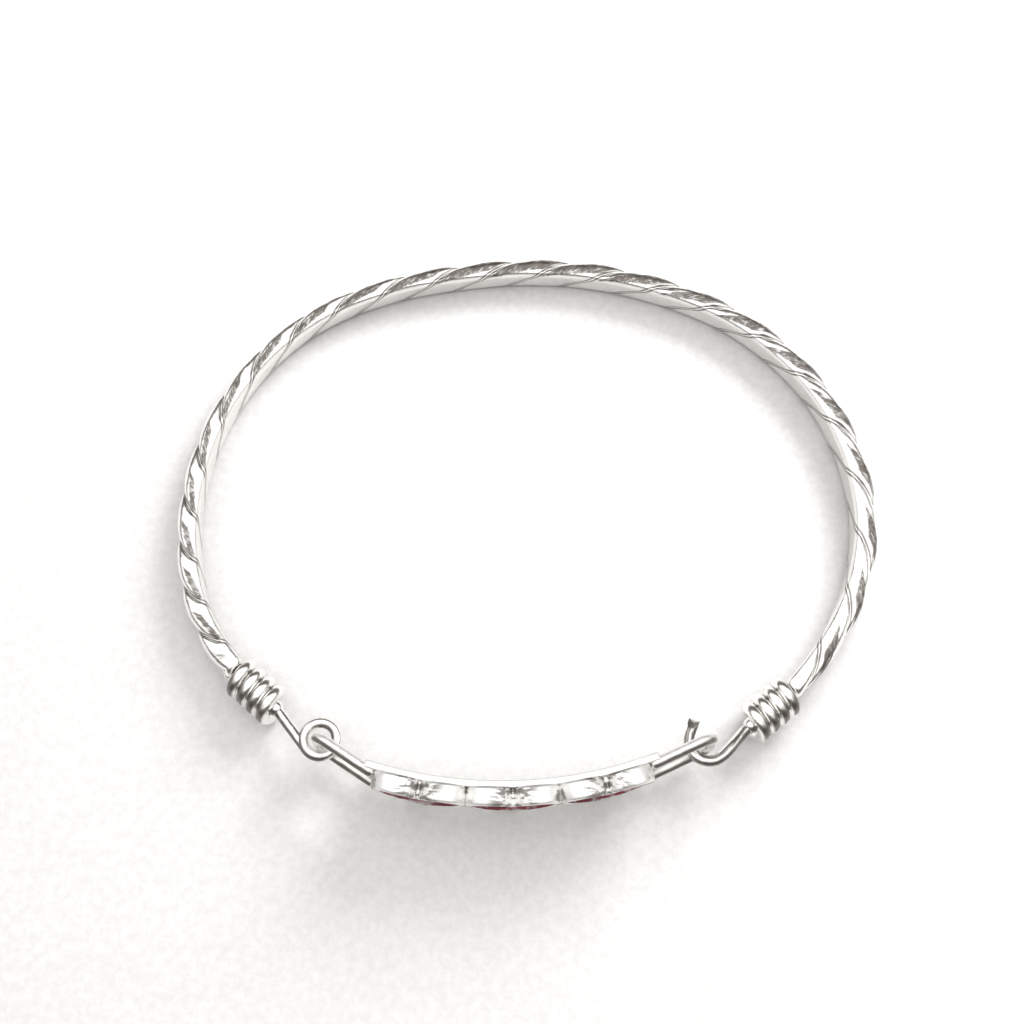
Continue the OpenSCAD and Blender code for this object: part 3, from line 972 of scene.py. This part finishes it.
def wire_silver(finish):
    """Polished silver wire: drawn lines run along it, a painted dark reflection lies in streaks on
    its upper outer flank, tarnish lies faintly in patches, and small dents show in the gloss. The
    hook has painted dark reflections on both sides of a bright line along its top, and its sawn tip
    is dark and matt."""
    sheet = Sheet(bpy.data.materials.new("silver wire"))
    uv, place = sheet.surface(), sheet.place()
    drawn = sheet.lines(uv, (11.0, 0.7, 1.0), 5, 0.6)
    dents = sheet.noise(place, 900.0, 2, 0.5)
    patches = sheet.noise(place, 700.0, 4, 0.6).rises(0.52, 0.75)
    facing, _, own = sheet.marks()
    on_hook, sawn = own.rises(1, 2.5), own.rises(4, 8)
    streaks = sheet.lines(uv, (3.0, 0.6, 1.0), 4, 0.6)
    ragged = facing + (streaks - 0.5) * 50
    # Painted dark reflections: two dark bands with a bright line between them, along the hook's top
    hook_reflection_bands = (1 - (ragged - 78).size().rises(44, 62)) * (ragged - 84).size().rises(7, 16)
    # Tarnish in faint patches, and the painted dark reflection on the upper outer flank
    dark = (patches * 0.3).or_more(sheet.painted_flank_reflection(uv, place) * 0.84)
    dark = dark.or_more(hook_reflection_bands * on_hook * (0.55 + streaks * 0.4))
    dark = dark.or_more(sawn * (0.3 + drawn * 0.5))
    roughness = finish.polish + 0.02 + drawn * 0.1 + dark * 0.25
    fine = sheet.bump(drawn, 0.00001, sheet.bump(dents, 0.00007))
    return sheet.silver(finish, dark, roughness, fine)


def plate_silver(finish):
    """Silver of the plate, which is polished less than the wires: file marks run along it, dark in
    the notch of each heart and faint elsewhere, between patches that are smooth and bright. A faint
    tarnish lies in spots, and a painted dark reflection lies in streaks on the upper outer flank of
    the eyelets' wire."""
    sheet = Sheet(bpy.data.materials.new("plate silver"))
    uv, place = sheet.surface(), sheet.place()
    _, _, own = sheet.marks()
    file_marks = sheet.lines(place, (230.0, 2200.0, 2200.0), 4, 0.6)
    patches = sheet.noise(place, 330.0, 2, 0.5).rises(0.42, 0.6)
    dents = sheet.noise(place, 500.0, 2, 0.5)
    spots = sheet.noise(place, 1300.0, 4, 0.6).rises(0.58, 0.8)
    # Distance from the heart's middle line in millimetres, far larger on the strip and eyelets
    aside = own.size()
    in_notch = 1 - aside.rises(1.3, 2.5)
    at_edge = aside.rises(3.2, 3.7) * (1 - aside.rises(5, 6))
    on_eyelet = own.rises(70, 90)
    blobs = at_edge * sheet.noise(place, 900.0, 3, 0.6).rises(0.5, 0.6)
    dark = spots * 0.2 + in_notch * file_marks.rises(0.46, 0.57) * 0.74
    # The eyelets' wire carries the painted dark reflection on its upper outer flank
    dark = dark.or_more(blobs * 0.6).or_more(sheet.painted_flank_reflection(uv, place) * on_eyelet * 0.84)
    roughness = finish.polish + 0.3 + file_marks * 0.14
    fine = sheet.bump(file_marks * patches, 0.00004, sheet.bump(dents, 0.00014))
    return sheet.silver(finish, dark, roughness, fine)


def red_enamel(finish):
    """Dark red enamel: a faintly clouded red glass with a slow orange-peel wave and tiny pits, and
    a gloss that is brighter in some places than in others."""
    sheet = Sheet(bpy.data.materials.new("red enamel"))
    place = sheet.place()
    cloud = sheet.noise(place, 500.0, 4, 0.6)
    peel = sheet.noise(place, 900.0, 2, 0.5)
    pits = sheet.noise(place, 6000.0, 2, 0.5).rises(0.66, 0.8)
    polish = sheet.lines(place, (620.0, 620.0, 120.0), 2, 0.5).rises(0.5, 0.6)
    deep = tuple(0.45 * c for c in finish.enamel)
    return sheet.principled(
        {
            "Base Color": sheet.mix(cloud.rises(0.3, 0.7), clear(deep), clear(finish.enamel)),
            "Roughness": 0.3 + pits * 0.3,
            "IOR": 1.45,
            "Specular IOR Level": 0.0,
            "Coat Weight": 0.14 + polish * 0.7,
            "Coat Roughness": 0.07,
            "Normal": sheet.bump(peel - pits * 0.2, 0.00003),
        }
    )


def floor_paper(stage):
    """White paper: a matt surface with a grain and a few specks of dust."""
    sheet = Sheet(bpy.data.materials.new("floor paper"))
    place = sheet.place()
    grain = sheet.noise(place, 1300.0, 5, 0.65)
    cloud = sheet.noise(place, 160.0, 4, 0.6)
    light, dark = clear(stage.floor), clear(tuple(0.84 * c for c in stage.floor))
    cells = sheet.node("ShaderNodeTexVoronoi", None, {"Vector": place, "Scale": 70.0})
    dust = 1 - Value(sheet, cells.outputs["Distance"]).rises(0.012, 0.02)
    paper = sheet.mix(grain.rises(0.3, 0.7) * 0.6 + cloud * 0.4, light, dark)
    return sheet.principled(
        {
            "Base Color": sheet.mix(dust * 0.7, paper, clear((0.1, 0.09, 0.09))),
            "Roughness": 0.85,
            "Normal": sheet.bump(grain, 0.00003),
        }
    )


def studio_sky(stage):
    """Light from all round by height: dark along the horizon, then white. The dark reaches higher
    at the front, where the photographer stands, and lower at the sides, where the windows are."""
    sheet = Sheet(bpy.data.worlds.new("studio sky"))
    x, y, z = sheet.parts(sheet.node("ShaderNodeTexCoord").outputs["Generated"])
    shade = sheet.ramp(
        z + y * 0.12 + x * x * 0.5,
        [
            (0.0, (0.14, 0.13, 0.12)), (0.4, (0.09, 0.082, 0.075)), (0.68, (0.12, 0.112, 0.104)),
            (0.76, (0.7, 0.69, 0.67)), (0.82, (1, 1, 1)), (1.0, (1, 1, 1)),
        ],
    )
    light = sheet.node("ShaderNodeBackground", None, {"Color": shade, "Strength": stage.sky})
    return sheet.finish(light)


# Operators


def settings():
    """The bangle's sizes and finish, kept on the scene."""
    return bpy.context.scene.heart_bangle


class BANGLE_OT_band(Operator):
    """Makes the twisted band with its grooves and the fine wire in them"""

    bl_idname = "bangle.band"
    bl_label = "Twisted band"

    def execute(self, context):
        s = settings()
        parts, run = band_parts(s.band, s.wires)
        silver = band_silver(s.finish, s.band, run)
        put_mesh("band_twist", parts, silver, "bangle", "twisted_band")
        return {"FINISHED"}


class BANGLE_OT_wires(Operator):
    """Makes the two wraps, the loop and the hook from silver wire"""

    bl_idname = "bangle.wires"
    bl_label = "Wraps, loop and hook"

    def execute(self, context):
        s = settings()
        wires, silver = s.wires, wire_silver(s.finish)
        for name, node, parts in (
            ("left_wound_wire", "left_wrap", wrap_parts(LEFT_WRAP, wires)),
            ("right_wound_wire", "right_wrap", wrap_parts(RIGHT_WRAP, wires)),
            ("loop_wire", "left_loop", loop_parts(wires)),
            ("hook_wire", "right_hook", hook_parts(wires)),
        ):
            put_mesh(name, parts, silver, "bangle", node)
        return {"FINISHED"}


class BANGLE_OT_plate(Operator):
    """Makes the curved silver plate: its strip, three rimmed hearts and two eyelets"""

    bl_idname = "bangle.plate"
    bl_label = "Heart plate"

    def execute(self, context):
        s = settings()
        parts = [strip_part(s.plate)]
        parts += [heart_part(i * HEART_STEP, s.plate) for i in (-1, 0, 1)]
        parts += [eyelet_part(HINGE, -1, s.plate), eyelet_part(CATCH_BAR, 1, s.plate)]
        silver = plate_silver(s.finish)
        put_mesh("silver_plate", parts, silver, "plate", "heart_plate")
        return {"FINISHED"}


class BANGLE_OT_enamel(Operator):
    """Fills the three hearts with dark red enamel"""

    bl_idname = "bangle.enamel"
    bl_label = "Enamel"

    def execute(self, context):
        s = settings()
        red = red_enamel(s.finish)
        for i, side in enumerate(("left", "middle", "right")):
            part = enamel_part((i - 1) * HEART_STEP, s.plate)
            put_mesh(f"{side}_red_heart", [part], red, "plate", f"{side}_enamel")
        return {"FINISHED"}


class BANGLE_OT_stage(Operator):
    """Makes the paper floor, the soft light and the camera"""

    bl_idname = "bangle.stage"
    bl_label = "Stage"

    def execute(self, context):
        stage = settings().stage
        scene = context.scene
        mesh = bpy.data.meshes.new("paper_floor")
        corners = [(-1, -1), (1, -1), (1, 1), (-1, 1)]
        mesh.from_pydata([(FLOOR_HALF * x, FLOOR_HALF * y, 0) for x, y in corners], [], [range(4)])
        mesh.materials.append(floor_paper(stage))
        put("paper_floor", mesh)
        scene.world = studio_sky(stage)

        lamp = bpy.data.lights.new("soft lamp", "AREA")
        lamp.shape, (lamp.size, lamp.size_y) = "RECTANGLE", LAMP_SIZE
        lamp.energy = stage.lamp
        lamp_object = put("soft lamp", lamp)
        lamp_object.location = LAMP_AT
        # It fills the shadows and isn't mirrored in the silver
        lamp_object.visible_glossy = False
        aim = -lamp_object.location
        lamp_object.rotation_euler = aim.to_track_quat("-Z", "Y").to_euler()

        camera = bpy.data.cameras.new("camera")
        camera.lens = stage.lens
        camera.sensor_width = SENSOR
        camera.clip_start = 0.001
        camera_object = put("camera", camera)
        elevation = math.radians(ELEVATION)
        back = Vector((0, -math.cos(elevation), math.sin(elevation)))
        turn = Matrix.Rotation(math.radians(90) - elevation, 4, "X")
        camera_object.matrix_world = Matrix.Translation(Vector(AIM) + DISTANCE * back) @ turn
        scene.camera = camera_object
        scene.view_settings.view_transform = "Standard"
        return {"FINISHED"}


class BangleSettings(PropertyGroup):
    """All that a user would change."""

    band: PointerProperty(type=BandSizes)
    wires: PointerProperty(type=WireSizes)
    plate: PointerProperty(type=PlateSizes)
    finish: PointerProperty(type=Finish)
    stage: PointerProperty(type=StageSettings)


OPERATORS = (BANGLE_OT_band, BANGLE_OT_wires, BANGLE_OT_plate, BANGLE_OT_enamel, BANGLE_OT_stage)


class BANGLE_PT_panel(Panel):
    """Sizes and finish of the bangle, and a button for each piece"""

    bl_idname = "BANGLE_PT_panel"
    bl_label = "Heart bangle"
    bl_space_type = "VIEW_3D"
    bl_region_type = "UI"
    bl_category = "Bangle"

    def draw(self, context):
        for name in ("band", "wires", "plate", "finish", "stage"):
            group = getattr(context.scene.heart_bangle, name)
            box = self.layout.box()
            box.label(text=name.capitalize())
            for prop in group.bl_rna.properties:
                if prop.identifier not in ("rna_type", "name"):
                    box.prop(group, prop.identifier)
        for operator in OPERATORS:
            self.layout.operator(operator.bl_idname)


GROUPS = (BandSizes, WireSizes, PlateSizes, Finish, StageSettings, BangleSettings)
CLASSES = (*GROUPS, *OPERATORS, BANGLE_PT_panel)


def register():
    for c in CLASSES:
        bpy.utils.register_class(c)
    bpy.types.Scene.heart_bangle = PointerProperty(type=BangleSettings)


def unregister():
    del bpy.types.Scene.heart_bangle
    for c in reversed(CLASSES):
        bpy.utils.unregister_class(c)


def main():
    """Makes every piece and the stage."""
    register()
    bpy.ops.bangle.band()
    bpy.ops.bangle.wires()
    bpy.ops.bangle.plate()
    bpy.ops.bangle.enamel()
    bpy.ops.bangle.stage()


if __name__ == "__main__":
    main()
